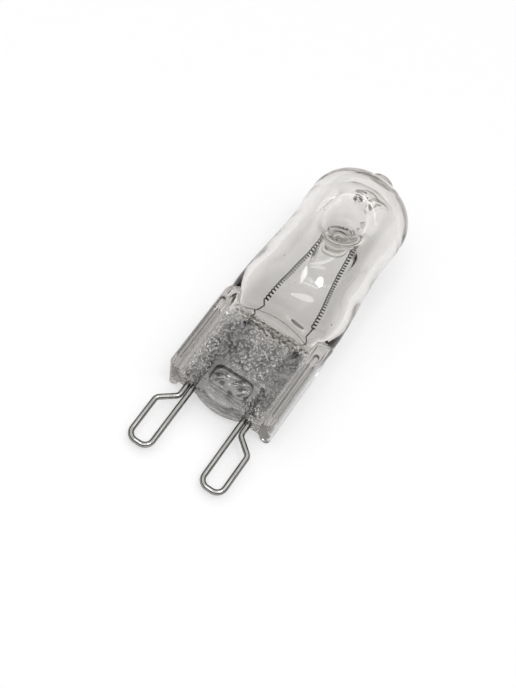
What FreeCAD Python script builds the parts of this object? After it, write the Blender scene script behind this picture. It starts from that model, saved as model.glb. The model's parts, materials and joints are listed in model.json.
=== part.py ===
"""Halogen capsule lamp with a two-loop pinch base, lying on its flat side.

Lengths are millimetres. The lamp is drawn along X: the base's lower edge is at X = 0, the pin loops
hang below it towards -X and the sealed tip is at +X. Y runs across the base, from pin to pin, and Z
through its thickness. At the end every piece is laid down on the floor as the lamp comes to rest.
"""
import FreeCAD, Part
import Sketcher
import math
import os
import re

SIZES = (
    # Pinched base: two side ribs joined by a thinner web
    ("base_width", 13.0, "across the two ribs"),
    ("base_thickness", 5.0, "through a rib"),
    ("base_height", 10.4, "from its lower edge to where the bulb starts"),
    ("base_corner", 0.7, "radius of the lower corners, seen from the front"),
    ("rib_face", 1.1, "width of a rib's flat top"),
    ("rib_lean", 0.4, "how much wider a rib is at its foot than at its top"),
    ("rib_edge", 0.3, "rounding along a rib"),
    ("rib_run", 1.7, "length of a rib beyond the base, into the bulb's shoulder"),
    ("rib_toe", 0.4, "rounding of a rib's lower end, seen from the side"),
    ("rib_nose", 2.3, "rounding of its upper end, seen from the side"),
    ("web_thickness", 2.3, "between the ribs"),
    # Raised lug between the pins, with a pocket that the holder's spring snaps into
    ("lug_width", 5.3, "across"),
    ("lug_thickness", 2.8, "through the lug"),
    ("lug_top", 4.0, "above the base's lower edge"),
    ("lug_bow", 0.5, "of its lower edge below the base's lower edge, before rounding"),
    ("bow_share", 0.8, "part of that edge that the rounding takes"),
    ("lug_corner", 0.6, "radius of its upper corners"),
    ("pocket_length", 4.6, "across"),
    ("pocket_height", 2.3, "along the lamp"),
    ("pocket_rise", 1.2, "above the base's lower edge"),
    ("pocket_depth", 0.5, "from each face of the lug"),
    ("pocket_corner", 0.7, "radius"),
    # Outside of the bulb: oval sections from the base up to the round tube, each by its rise over the base
    ("ledge_width", 12.5, "first section, on the base, across"),
    ("ledge_depth", 3.6, "first section, through"),
    ("shoulder_rise", 2.2, "second section"),
    ("shoulder_width", 13.2, "second section, across"),
    ("shoulder_depth", 7.0, "second section, through"),
    ("flare_rise", 4.9, "third section"),
    ("flare_width", 13.15, "third section, across"),
    ("flare_depth", 9.5, "third section, through"),
    ("root_rise", 8.9, "fourth section"),
    ("root_width", 12.45, "fourth section, across"),
    ("root_depth", 11.3, "fourth section, through"),
    ("waist_rise", 13.2, "where the tube is narrowest"),
    ("waist_diameter", 11.9, "there"),
    ("bulge_diameter", 12.2, "where the tube is widest, below its dome"),
    # Dome and the sealed stub of the exhaust tube on it
    ("dome_rise", 21.4, "of the dome's corner over the base, before rounding"),
    ("dome_barrel", 4.3, "from the tube's widest place up to that corner"),
    ("dome_round", 4.2, "rounding of that corner"),
    ("dome_crown", 0.9, "from that corner up to where the stub leaves the dome"),
    ("tip_length", 1.6, "of the stub"),
    ("tip_diameter", 3.2, "of the stub"),
    ("tip_root", 0.5, "rounding at the stub's foot"),
    ("tip_round", 0.6, "rounding at the stub's end"),
    # Hollow of the bulb
    ("wall", 1.05, "of the tube"),
    ("dome_wall", 1.2, "of the dome"),
    ("floor_rise", 0.8, "of the hollow's lower end over the base"),
    ("floor_width", 8.6, "of the hollow there, across"),
    ("floor_depth", 1.4, "of the hollow there, through"),
    ("shoulder_wall", 1.5, "of the bulb at its second section, at the sides"),
    ("shoulder_face", 2.2, "of the bulb there, front and back"),
    ("bore_diameter", 2.4, "of the exhaust tube's bore at the hollow's top"),
    ("bore_rise", 1.4, "of that bore into the stub"),
    # Two dimples pressed towards each other, which leave a post across the hollow
    ("dimple_rise", 13.7, "of the dimples over the base"),
    ("dimple_mouth", 5.6, "diameter at the tube's outside"),
    ("dimple_nose", 1.3, "diameter of the dimple's bottom"),
    ("dimple_gap", 2.4, "glass left between the two bottoms"),
    ("dimple_bed", 0.85, "rounding of the bottom"),
    ("dimple_rim", 0.8, "rounding of the mouth"),
    ("dimple_lip", 1.6, "width of the soft lip round the mouth"),
    ("lip_fall", 0.24, "of that lip towards the mouth, to each side of the tube's surface"),
    ("post_diameter", 2.7, "of the post at its neck"),
    ("post_foot", 7.8, "diameter of the post where it runs into the tube's wall"),
    # Pin loops of bent wire
    ("pin_wire", 0.63, "wire diameter"),
    ("pin_spacing", 9.0, "between the middles of the two loops"),
    ("loop_width", 2.56, "between the legs' centre lines"),
    ("loop_length", 8.6, "from the base's lower edge to the loop's end"),
    ("loop_round", 1.0, "radius of the loop's end bends"),
    ("jog_low", 3.05, "below the base, where the outer leg turns inwards"),
    ("jog_high", 1.55, "below the base, where it turns up again"),
    ("jog_round", 0.75, "radius of these two bends"),
    ("leg_gap", 0.04, "between the two legs where they enter the glass"),
    ("long_end", 4.0, "of the inner leg inside the glass"),
    ("short_end", 0.5, "of the outer leg inside the glass"),
    # Sealing foils, which sit a little off the middle of the base
    ("foil_spacing", 6.4, "between the foils' middles"),
    ("foil_shift", 0.55, "of both, towards the right"),
    ("foil_width", 1.8, "across"),
    ("foil_at", 2.4, "lower end, above the base's lower edge"),
    ("foil_margin", 0.6, "from the upper end to the bulb"),
    ("foil_thickness", 0.04, "through"),
    # Filament: two coiled legs, a plain turn over the post, plain tails down to the foils
    ("filament_wire", 0.14, "wire diameter"),
    ("coil_diameter", 0.5, "outside of the coil"),
    ("coil_turns", 24, "in one leg"),
    ("coil_rise", 3.05, "of the coil's lower end over the base"),
    ("coil_spread", 5.84, "between the legs' lower ends"),
    ("coil_shift", 0.43, "of both lower ends, towards the right"),
    ("turn_radius", 1.68, "of the turn over the post"),
    ("turn_shift", 0.15, "of the turn, towards the right"),
    ("turn_gap", 0.02, "between the turn and the post"),
    ("tail_drop", 0.8, "straight stretch of a tail below its coil"),
    ("tail_step", 0.55, "height of the slanted stretch below that"),
    ("tail_round", 0.3, "radius of a tail's bends"),
    ("tail_end", 1.1, "of a tail on its foil"),
    ("tail_flat", 0.02, "flattened off a tail where it is welded to the foil"),
    ("weld_bead", 0.17, "diameter of the wire where a coil runs into plain wire"),
)

NAMES = {name for name, _, _ in SIZES}
SECTION_TURN = FreeCAD.Rotation(FreeCAD.Vector(1, 1, 1), 120)
FINE = 0.02

doc = FreeCAD.newDocument("halogen_capsule")
sheet = doc.addObject("Spreadsheet::Sheet", "Sizes")
for row, (name, size, note) in enumerate(SIZES, start=1):
    sheet.set("A%d" % row, name)
    sheet.set("B%d" % row, str(size))
    sheet.set("C%d" % row, note)
    sheet.setAlias("B%d" % row, name)
doc.recompute()


def bound(text):
    """The expression with each size's name pointing at its cell of the sheet."""
    return re.sub(r"[a-z_]+", lambda found: "Sizes." + found[0] if found[0] in NAMES else found[0], text)


def value(text):
    """The number that an expression of sizes stands for."""
    return float(sheet.evalExpression(bound(text)))


def above(rise):
    """The height over the base's lower edge of a place given by its rise over the base."""
    return "(base_height + %s)" % rise


def bind(item, **expressions):
    """Tie properties of an object to the sheet; a double underscore in a name stands for a dot."""
    for path, text in expressions.items():
        item.setExpression(path.replace("__", "."), bound(text))


# Sketches and bodies

def new_body(label):
    body = doc.addObject("PartDesign::Body", label)
    body.Label = label
    return body


def new_sketch(body, role, name, **offset):
    """A sketch on one of the body's own origin planes, moved off it by named offsets."""
    sketch = body.newObject("Sketcher::SketchObject", name)
    plane = next(item for item in body.Origin.OriginFeatures if item.Role == role)
    sketch.AttachmentSupport = [(plane, "")]
    sketch.MapMode = "FlatFace"
    bind(sketch, **{"AttachmentOffset__Base__" + axis: text for axis, text in offset.items()})
    return sketch


def hold(sketch, item, end, across, up):
    """Hold one point of a sketch at a place given by two expressions."""
    for kind, text, axis in (("DistanceX", across, -2), ("DistanceY", up, -1)):
        size = value(text)
        if abs(size) < 1e-9:
            sketch.addConstraint(Sketcher.Constraint("PointOnObject", item, end, axis))
        elif size > 0:
            index = sketch.addConstraint(Sketcher.Constraint(kind, -1, 1, item, end, size))
            sketch.setExpression("Constraints[%d]" % index, bound(text))
        else:
            index = sketch.addConstraint(Sketcher.Constraint(kind, item, end, -1, 1, -size))
            sketch.setExpression("Constraints[%d]" % index, bound("-(%s)" % text))


def round_corner(sketch, point, before, after, radius):
    """Tangent points and arc of a rounded corner; the arc's first end is at the run before it or after."""
    along_in = (point - before).normalize()
    along_out = (after - point).normalize()
    turn = along_in.getAngle(along_out)
    reach = radius * math.tan(turn / 2)
    left = along_in.cross(along_out).z > 0
    start = point - along_in * reach
    end = point + along_out * reach
    side = FreeCAD.Vector(-along_in.y, along_in.x, 0) * (1 if left else -1)
    centre = start + side * radius
    first, last = (start, end) if left else (end, start)
    angles = [math.atan2(spot.y - centre.y, spot.x - centre.x) for spot in (first, last)]
    circle = Part.Circle(centre, FreeCAD.Vector(0, 0, 1), radius)
    arc = sketch.addGeometry(Part.ArcOfCircle(circle, angles[0], angles[1]), False)
    return start, end, arc, (1, 2) if left else (2, 1)


def outline(sketch, corners, closed=True):
    """Straight runs from corner to corner, each held by sizes; a third entry rounds the corner."""
    count = len(corners)
    points = [FreeCAD.Vector(value(corner[0]), value(corner[1]), 0) for corner in corners]
    starts, ends, arcs = list(points), list(points), {}
    for index, corner in enumerate(corners):
        if len(corner) == 3:
            before, after = points[index - 1], points[(index + 1) % count]
            starts[index], ends[index], arc, order = round_corner(
                sketch, points[index], before, after, value(corner[2]))
            arcs[index] = (arc, order)
    runs = {}
    for index in range(count if closed else count - 1):
        following = (index + 1) % count
        runs[index] = sketch.addGeometry(Part.LineSegment(ends[index], starts[following]), False)
    for index, corner in enumerate(corners):
        arriving = runs.get(index - 1 if index else (count - 1 if closed else None))
        leaving = runs.get(index)
        if index in arcs:
            arc, (first, last) = arcs[index]
            spot = sketch.addGeometry(Part.Point(points[index]), True)
            sketch.addConstraint([
                Sketcher.Constraint("Tangent", arriving, 2, arc, first),
                Sketcher.Constraint("Tangent", arc, last, leaving, 1),
                Sketcher.Constraint("PointOnObject", spot, 1, arriving),
                Sketcher.Constraint("PointOnObject", spot, 1, leaving)])
            radius = sketch.addConstraint(Sketcher.Constraint("Radius", arc, value(corner[2])))
            sketch.setExpression("Constraints[%d]" % radius, bound(corner[2]))
            hold(sketch, spot, 1, corner[0], corner[1])
            continue
        if arriving is not None and leaving is not None:
            sketch.addConstraint(Sketcher.Constraint("Coincident", arriving, 2, leaving, 1))
        if leaving is not None:
            hold(sketch, leaving, 1, corner[0], corner[1])
        else:
            hold(sketch, arriving, 2, corner[0], corner[1])


def circle(sketch, across, up, radius):
    """A circle held by sizes."""
    middle = FreeCAD.Vector(value(across), value(up), 0)
    item = sketch.addGeometry(Part.Circle(middle, FreeCAD.Vector(0, 0, 1), value(radius)), False)
    hold(sketch, item, 3, across, up)
    index = sketch.addConstraint(Sketcher.Constraint("Radius", item, value(radius)))
    sketch.setExpression("Constraints[%d]" % index, bound(radius))


def through(body, kind, sketch, name, length):
    """A Pad or Pocket to both sides of its sketch."""
    feature = body.newObject("PartDesign::" + kind, name)
    feature.Profile = sketch
    feature.Midplane = True
    bind(feature, Length=length)
    return feature


def turned(body, sketch, axis, name):
    """A full revolution of a sketch about one of its own axes."""
    feature = body.newObject("PartDesign::Revolution", name)
    feature.Profile = sketch
    feature.ReferenceAxis = (sketch, [axis])
    feature.Angle = 360
    return feature


def joined(kind, label, *shapes):
    """A boolean of whole shapes: MultiFuse of all, or Cut and Common of the first two."""
    feature = doc.addObject("Part::" + kind, label)
    if kind == "MultiFuse":
        feature.Shapes = list(shapes)
    else:
        feature.Base, feature.Tool = shapes
    return feature


# Base of the lamp

def rib_rounding(body, name, role, corners, depth):
    """Pockets that round the square corners of the base, seen along one direction."""
    for index, (at_x, at_side, inwards_x, inwards_side, radius) in enumerate(corners):
        sketch = new_sketch(body, role, "%s_%d_outline" % (name, index))
        square = FreeCAD.Vector(value(at_x), value(at_side), 0)
        size = value(radius)
        low = square + FreeCAD.Vector(inwards_x * size, 0, 0)
        side = square + FreeCAD.Vector(0, inwards_side * size, 0)
        middle = square + FreeCAD.Vector(inwards_x * size, inwards_side * size, 0)
        first, last = (low, side) if inwards_x * inwards_side < 0 else (side, low)
        angles = [math.atan2(spot.y - middle.y, spot.x - middle.x) for spot in (first, last)]
        runs = [sketch.addGeometry(Part.LineSegment(square, low), False),
                sketch.addGeometry(Part.LineSegment(side, square), False)]
        arc = sketch.addGeometry(Part.ArcOfCircle(
            Part.Circle(middle, FreeCAD.Vector(0, 0, 1), size), angles[0], angles[1]), False)
        ends = (1, 2) if first == low else (2, 1)
        sketch.addConstraint([
            Sketcher.Constraint("Coincident", runs[1], 2, runs[0], 1),
            Sketcher.Constraint("Tangent", runs[0], 2, arc, ends[0]),
            Sketcher.Constraint("Tangent", runs[1], 1, arc, ends[1]),
            Sketcher.Constraint("Horizontal", runs[0]),
            Sketcher.Constraint("Vertical", runs[1])])
        held = sketch.addConstraint(Sketcher.Constraint("Radius", arc, size))
        sketch.setExpression("Constraints[%d]" % held, bound(radius))
        hold(sketch, runs[0], 1, at_x, at_side)
        pocket = through(body, "Pocket", sketch, "%s_%d" % (name, index), depth)
        doc.recompute()
        body.Tip = pocket


def make_base():
    """The pinch: an H-section bar with rounded ends, and the lug between the pins."""
    body = new_body("pinch_base")
    section = new_sketch(body, "YZ_Plane", "h_section")
    half, foot = "base_width / 2", "(base_width / 2 - rib_face - rib_lean)"
    quarter = [(half, "base_thickness / 2", "rib_edge"),
               ("%s - rib_face" % half, "base_thickness / 2", "rib_edge"),
               (foot, "web_thickness / 2", "rib_edge")]
    corners = list(quarter)
    corners += [("-(%s)" % a, b, r) for a, b, r in reversed(quarter)]
    corners += [("-(%s)" % a, "-(%s)" % b, r) for a, b, r in quarter]
    corners += [(a, "-(%s)" % b, r) for a, b, r in reversed(quarter)]
    outline(section, corners)
    bar = body.newObject("PartDesign::Pad", "h_bar")
    bar.Profile = section
    top = above("rib_run")
    bind(bar, Length=top)
    doc.recompute()
    rib_rounding(body, "corner", "XY_Plane", [
        ("0", half, 1, -1, "base_corner"), ("0", "-" + half, 1, 1, "base_corner")], "2 * base_thickness")
    rib_rounding(body, "nose", "XZ_Plane", [
        ("0", "base_thickness / 2", 1, -1, "rib_toe"), ("0", "-base_thickness / 2", 1, 1, "rib_toe"),
        (top, "base_thickness / 2", -1, -1, "rib_nose"),
        (top, "-base_thickness / 2", -1, 1, "rib_nose")], "2 * base_width")
    return add_lug(body)


def add_lug(body):
    """The raised lug with a bowed lower edge, and a pocket in each of its faces."""
    side = "lug_width / 2"
    bow = "bow_share * (lug_width / 2)^2 / (2 * lug_bow)"
    plan = new_sketch(body, "XY_Plane", "lug_outline")
    outline(plan, [("lug_top", "-" + side, "lug_corner"), ("lug_top", side, "lug_corner"),
                   ("0", side), ("-2 * lug_bow", "0", bow), ("0", "-" + side)])
    lug = through(body, "Pad", plan, "lug", "lug_thickness")
    doc.recompute()
    body.Tip = lug
    for face, sign in (("front", ""), ("back", "-")):
        hollow = new_sketch(body, "XY_Plane", face + "_pocket_outline", z=sign + "lug_thickness / 2")
        low, high, end = "pocket_rise", "pocket_rise + pocket_height", "pocket_length / 2"
        outline(hollow, [(low, "-" + end, "pocket_corner"), (high, "-" + end, "pocket_corner"),
                         (high, end, "pocket_corner"), (low, end, "pocket_corner")])
        pocket = through(body, "Pocket", hollow, face + "_pocket", "2 * pocket_depth")
        doc.recompute()
        body.Tip = pocket
    return body


# Bulb

SHOULDER = above("shoulder_rise")
FLARE = above("flare_rise")
ROOT = above("root_rise")
WAIST = above("waist_rise")
BULGE = above("dome_rise - dome_barrel")
DOME_TOP = above("dome_rise + dome_crown")
DIMPLE = above("dimple_rise")


def oval(name, at, width, depth):
    """One oval section across the lamp."""
    section = doc.addObject("Part::Ellipse", name)
    section.Placement = FreeCAD.Placement(FreeCAD.Vector(value(at), 0, 0), SECTION_TURN)
    bind(section, MajorRadius="(%s) / 2" % width, MinorRadius="(%s) / 2" % depth)
    section.setExpression("Placement.Base.x", bound(at))
    return section


def loft(label, sections):
    """A smooth solid through oval sections."""
    solid = doc.addObject("Part::Loft", label)
    solid.Sections = [oval("%s_%d" % (label, index), *section) for index, section in enumerate(sections)]
    solid.Solid = True
    return solid


def make_outside(base):
    """The bulb's outside down to the base, filled solid."""
    tube = loft("tube_outside", [
        ("base_height", "ledge_width", "ledge_depth"),
        (SHOULDER, "shoulder_width", "shoulder_depth"),
        (FLARE, "flare_width", "flare_depth"),
        (ROOT, "root_width", "root_depth"),
        (WAIST, "waist_diameter", "waist_diameter"),
        (BULGE, "bulge_diameter", "bulge_diameter")])
    dome = new_body("dome_outside")
    profile = new_sketch(dome, "XY_Plane", "dome_profile")
    end, stub, side = DOME_TOP + " + tip_length", "tip_diameter / 2", "bulge_diameter / 2"
    outline(profile, [
        (BULGE, "0"), (end, "0"), (end, stub, "tip_round"), (DOME_TOP, stub, "tip_root"),
        (above("dome_rise"), side, "dome_round"), (BULGE, side)])
    turned(dome, profile, "H_Axis", "dome_turned")
    return tube, joined("MultiFuse", "outside", tube, dome, base)


def make_hollow():
    """The space inside the bulb."""
    tube = loft("tube_hollow", [
        (above("floor_rise"), "floor_width", "floor_depth"),
        (SHOULDER, "shoulder_width - 2 * shoulder_wall", "shoulder_depth - 2 * shoulder_face"),
        (FLARE, "flare_width - 2 * wall", "flare_depth - 2 * wall"),
        (ROOT, "root_width - 2 * wall", "root_depth - 2 * wall"),
        (WAIST, "waist_diameter - 2 * wall", "waist_diameter - 2 * wall"),
        (BULGE, "bulge_diameter - 2 * wall", "bulge_diameter - 2 * wall")])
    dome = new_body("dome_hollow")
    profile = new_sketch(dome, "XY_Plane", "hollow_profile")
    top, side = DOME_TOP + " - dome_wall", "bulge_diameter / 2 - wall"
    outline(profile, [
        (BULGE, "0"), (top + " + bore_rise", "0"), (top, "bore_diameter / 2", "tip_root"),
        (above("dome_rise - dome_wall"), side, "dome_round - wall"), (BULGE, side)])
    turned(dome, profile, "H_Axis", "hollow_turned")
    return joined("MultiFuse", "hollow", tube, dome)


def make_post(tube):
    """The waisted post that the two dimples leave across the hollow."""
    reach = "(waist_diameter / 2 - wall / 2)"
    swell = "((post_foot - post_diameter) / 2)"
    flare = "((%s^2 + %s^2) / (2 * %s))" % (reach, swell, swell)
    rod = doc.addObject("Part::Cylinder", "post_rod")
    bind(rod, Height="2 * " + reach, Placement__Base__x=DIMPLE, Placement__Base__z="-" + reach,
         Radius="post_foot / 2")
    ring = doc.addObject("Part::Torus", "post_waist")
    bind(ring, Radius1="post_diameter / 2 + " + flare, Radius2=flare, Placement__Base__x=DIMPLE)
    return joined("Common", "post", joined("Cut", "waisted_rod", rod, ring), tube)


def make_dimples():
    """The two dimples, as the space that they take from the tube."""
    dimple = new_body("front_dimple")
    profile = new_sketch(dimple, "XZ_Plane", "dimple_profile", x=DIMPLE)
    bottom, mouth = "dimple_gap / 2", "dimple_mouth / 2"
    low, high = "waist_diameter / 2 - lip_fall", "waist_diameter / 2 + lip_fall"
    outline(profile, [
        ("0", bottom), ("dimple_nose / 2", bottom, "dimple_bed"), (mouth, low, "dimple_rim"),
        (mouth + " + dimple_lip", high), ("0", high)])
    turned(dimple, profile, "V_Axis", "dimple_turned")
    back = doc.addObject("Part::Mirroring", "back_dimple")
    back.Source = dimple
    back.Normal = FreeCAD.Vector(0, 0, 1)
    return joined("MultiFuse", "dimples", dimple, back)


# Metal inside and below the glass

LEG = "(pin_spacing - loop_width) / 2"
WELD = "(filament_wire / 2 - tail_flat)"
FOIL_TOP = "(base_height - foil_margin)"


def flatten(body, label, low, high, middle, wire):
    """Flatten one stretch of a wire on its lower side, down to the foil that it is welded to."""
    near, far = "(%s) - %s" % (middle, wire), "(%s) + %s" % (middle, wire)
    plan = new_sketch(body, "XY_Plane", label + "_flat_outline", z="-%s" % WELD)
    outline(plan, [(low, near), (high, near), (high, far), (low, far)])
    ground = body.newObject("PartDesign::Pocket", label + "_flat")
    ground.Profile = plan
    bind(ground, Length=wire)
    doc.recompute()
    body.Tip = ground
    return body


def make_pin(label, side):
    """A wire loop: long inner leg to the foil, end bends, outer leg that jogs in beside the inner one."""
    body = new_body(label)
    sign = "" if side > 0 else "-"
    inner, outer = sign + LEG, "%s(%s + loop_width)" % (sign, LEG)
    beside = "%s(%s + pin_wire + leg_gap)" % (sign, LEG)
    end = "-(loop_length - pin_wire / 2)"
    path = new_sketch(body, "XY_Plane", label + "_path")
    outline(path, [("long_end", inner), (end, inner, "loop_round"), (end, outer, "loop_round"),
                   ("-jog_low", outer, "jog_round"), ("-jog_high", beside, "jog_round"),
                   ("short_end", beside)], closed=False)
    profile = new_sketch(body, "YZ_Plane", label + "_wire", z="long_end")
    circle(profile, inner, "0", "pin_wire / 2")
    wire = body.newObject("PartDesign::AdditivePipe", label + "_bent")
    wire.Profile = profile
    wire.Spine = (path, [])
    doc.recompute()
    return flatten(body, label, "foil_at", "2 * long_end", inner, "pin_wire")


def foil_middle(side):
    return "%d * foil_spacing / 2 - foil_shift" % side


def make_foil(label, side):
    """A thin strip sealed in the pinch, which carries the current through the glass."""
    body = new_body(label)
    plan = new_sketch(body, "XY_Plane", label + "_outline", z="-%s" % WELD)
    near, far = foil_middle(side) + " - foil_width / 2", foil_middle(side) + " + foil_width / 2"
    outline(plan, [("foil_at", near), (FOIL_TOP, near), (FOIL_TOP, far), ("foil_at", far)])
    strip = body.newObject("PartDesign::Pad", label + "_strip")
    strip.Profile = plan
    strip.Reversed = True
    bind(strip, Length="foil_thickness")
    return body


COIL = "(coil_diameter - filament_wire) / 2"
COIL_LOW = above("coil_rise")
TURN_ROOM = "(turn_radius - filament_wire / 2 - post_diameter / 2 - turn_gap - turn_shift)"
TURN_AT = "(%s - %s)" % (DIMPLE, TURN_ROOM)
RUN = "(%s - %s)" % (TURN_AT, COIL_LOW)


def leg_lean(side):
    """How far a coiled leg leans outwards from its upper to its lower end."""
    return "(coil_spread / 2 - turn_radius - %s - %d * (coil_shift - turn_shift))" % (COIL, side)


def leg_slant(side):
    return "sqrt(%s^2 + %s^2)" % (RUN, leg_lean(side))


def tail_top(side):
    """Where a coil's wire starts, on the side of the coil that faces the lamp's middle."""
    slant = leg_slant(side)
    return ("(%s - %s * %s / %s)" % (COIL_LOW, COIL, leg_lean(side), slant),
            "%d * (coil_spread / 2 - %s * %s / %s) - coil_shift" % (side, COIL, RUN, slant))


def make_coil(label, side):
    """One coiled leg: a helix that starts and ends on the side towards the lamp's middle."""
    body = new_body(label)
    profile = new_sketch(body, "XZ_Plane", label + "_wire")
    corners = [("%s + filament_wire / 2 * cos(%d deg)" % (COIL, turn),
                "filament_wire / 2 * sin(%d deg)" % turn) for turn in range(0, 360, 60)]
    outline(profile, corners)
    coil = body.newObject("PartDesign::AdditiveHelix", label + "_turns")
    coil.Profile = profile
    coil.ReferenceAxis = (profile, ["V_Axis"])
    coil.Mode = "height-turns-angle"
    bind(coil, Height=leg_slant(side), Turns="coil_turns")
    low = FreeCAD.Vector(value(COIL_LOW), value("%d * coil_spread / 2 - coil_shift" % side), 0)
    along = FreeCAD.Vector(value(RUN), -side * value(leg_lean(side)), 0).normalize()
    inwards = FreeCAD.Vector(along.y, -along.x, 0) * side
    body.Placement = FreeCAD.Placement(low, FreeCAD.Rotation(inwards, along.cross(inwards), along, "XYZ"))
    return body


def make_tail(label, side):
    """Plain wire from a coil's lower end, stepping sideways, down to its flattened end on the foil."""
    body = new_body(label)
    end, seat = FOIL_TOP + " - tail_end", foil_middle(side)
    top, beside = tail_top(side)
    path = new_sketch(body, "XY_Plane", label + "_path")
    outline(path, [(end, seat), (top + " - tail_drop - tail_step", seat, "tail_round"),
                   (top + " - tail_drop", beside, "tail_round"), (top, beside)], closed=False)
    profile = new_sketch(body, "YZ_Plane", label + "_wire", z=end)
    circle(profile, seat, "0", "filament_wire / 2")
    wire = body.newObject("PartDesign::AdditivePipe", label + "_bent")
    wire.Profile = profile
    wire.Spine = (path, [])
    doc.recompute()
    return flatten(body, label, "foil_at", FOIL_TOP, seat, "filament_wire")


def make_joints():
    """Beads where the coils run into plain wire, and the plain half turn over the post."""
    turn = doc.addObject("Part::Torus", "post_turn")
    bind(turn, Radius1="turn_radius", Radius2="filament_wire / 2")
    turn.Angle3 = 180
    quarter_back = FreeCAD.Rotation(FreeCAD.Vector(0, 0, 1), -90)
    middle = FreeCAD.Vector(value(TURN_AT), -value("turn_shift"), 0)
    turn.Placement = FreeCAD.Placement(middle, quarter_back)
    pieces = [turn]
    for side in (1, -1):
        for at_x, at_y in (tail_top(side), (TURN_AT, "%d * turn_radius - turn_shift" % side)):
            bead = doc.addObject("Part::Sphere", "bead")
            bind(bead, Radius="weld_bead / 2")
            bead.Placement.Base = FreeCAD.Vector(value(at_x), value(at_y), 0)
            pieces.append(bead)
    return pieces


# The lamp as it lies

def lower_edges(points):
    """The lower convex outline of points seen along Y, as (X, Z) pairs from left to right."""
    chain = []
    for spot in sorted({(point.x, point.z) for point in points}):
        while len(chain) > 1 and ((chain[-1][0] - chain[-2][0]) * (spot[1] - chain[-2][1])
                                  <= (chain[-1][1] - chain[-2][1]) * (spot[0] - chain[-2][0])):
            chain.pop()
        chain.append(spot)
    return list(zip(chain, chain[1:]))


def resting_place(glass, pieces):
    """The lamp rests on the edge of its lower outline that lies closest under its centre of mass."""
    weight = glass.CenterOfGravity
    beds = []
    for (x_low, z_low), (x_high, z_high) in lower_edges(glass.tessellate(FINE)[0]):
        run, rise = x_high - x_low, z_high - z_low
        length = math.hypot(run, rise)
        share = ((weight.x - x_low) * run + (weight.z - z_low) * rise) / length ** 2
        height = ((weight.z - z_low) * run - (weight.x - x_low) * rise) / length
        if 0 <= share <= 1:
            beds.append((height, math.degrees(math.atan2(rise, run))))
    lean = FreeCAD.Rotation(FreeCAD.Vector(0, 1, 0), min(beds)[1])
    spots = [lean.multVec(point) for piece in pieces for point in piece.tessellate(FINE)[0]]
    left, right = min(spot.x for spot in spots), max(spot.x for spot in spots)
    lowest = min(spot.z for spot in spots)
    return FreeCAD.Placement(FreeCAD.Vector(-(left + right) / 2, 0, -lowest), lean)


SIDES = (("left", 1), ("right", -1))
tube, outside = make_outside(make_base())
shell = joined("Cut", "shell", outside, make_hollow())
braced = joined("MultiFuse", "braced_shell", shell, make_post(tube))
blank = joined("Cut", "glass_blank", braced, make_dimples())
pins = [make_pin(name + "_pin_loop", side) for name, side in SIDES]
foils = [make_foil(name + "_foil", side) for name, side in SIDES]
tails = [make_tail(name + "_tail", side) for name, side in SIDES]
coils = [make_coil(name + "_coil", side) for name, side in SIDES]
joints = make_joints()
doc.recompute()

lay = resting_place(blank.Shape, [blank.Shape] + [pin.Shape for pin in pins])
for piece in [blank] + pins + foils + tails + coils + joints:
    piece.Placement = lay.multiply(piece.Placement)
filament = joined("MultiFuse", "filament", *(coils + tails + joints))
sealed = joined("MultiFuse", "sealed_metal", *(pins + foils + tails))
envelope = joined("Cut", "glass_envelope", blank, sealed)
doc.recompute()

for item in doc.Objects:
    if {"Invalid", "Error"} & set(item.State):
        raise RuntimeError("%s did not build: %s" % (item.Label, item.State))
sub_parts = [envelope, filament] + foils + pins
for item in sub_parts:
    if item.Shape.isNull() or not item.Shape.isValid():
        raise RuntimeError("%s has no sound shape" % item.Label)
os.makedirs("parts", exist_ok=True)
for item in sub_parts:
    item.Shape.exportStep("parts/%s.step" % item.Label)
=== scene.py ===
"""Looks of a halogen capsule bulb that lies on a white surface: clear quartz glass with a pebbled pinch,
a fine coiled filament, sealing foils and bright wire loops, in plain soft studio light.

Lengths of the lamp are millimetres along its own axes: X from the base's lower edge to the sealed tip,
Y from the right pin loop to the left one, Z through the flat base. LAY takes them to the floor, in metres.
"""
import json
import math

import bmesh
import bpy
import numpy as np
from mathutils import Matrix, Vector


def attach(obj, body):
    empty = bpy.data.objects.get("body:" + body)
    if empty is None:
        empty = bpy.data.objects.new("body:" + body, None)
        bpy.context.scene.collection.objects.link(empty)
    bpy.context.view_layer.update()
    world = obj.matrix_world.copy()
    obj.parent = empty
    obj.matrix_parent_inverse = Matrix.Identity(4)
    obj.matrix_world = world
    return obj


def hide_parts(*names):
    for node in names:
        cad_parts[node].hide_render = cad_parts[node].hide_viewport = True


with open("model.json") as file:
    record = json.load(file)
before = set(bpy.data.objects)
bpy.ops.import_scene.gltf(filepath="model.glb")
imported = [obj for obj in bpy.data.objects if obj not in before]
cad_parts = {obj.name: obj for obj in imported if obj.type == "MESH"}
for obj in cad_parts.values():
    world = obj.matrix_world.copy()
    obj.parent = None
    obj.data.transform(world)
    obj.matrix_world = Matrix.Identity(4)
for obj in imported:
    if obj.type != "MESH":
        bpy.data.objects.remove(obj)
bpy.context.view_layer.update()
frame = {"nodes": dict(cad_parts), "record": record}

MM = 0.001


def lamp_to_floor():
    """The lamp's own frame as it lies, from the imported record's pin mount."""
    mount = next(item for item in frame["record"]["mounts"] if item["name"] == "pin_loops")
    along = -Vector(mount["axis"]).normalized()
    across = Vector((0, 1, 0))
    through = along.cross(across)
    turn = Matrix((along, across, through)).transposed()
    return Matrix.Translation(Vector(mount["pos_m"])) @ turn.to_4x4()


LAY = lamp_to_floor()

# Camera, fitted to the photograph in the lamp's frame

FRAME_HEIGHT = 688
FOCAL_PIXELS = 1300.5
SENSOR_WIDTH = 36
CAMERA_AT = Vector((-48.170, -22.144, 126.425))
CAMERA_TARGET = Vector((8.352, 0.407, 0.0))
CAMERA_ROLL = 0.579
CLIP_START, CLIP_END = 0.01, 20


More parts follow.
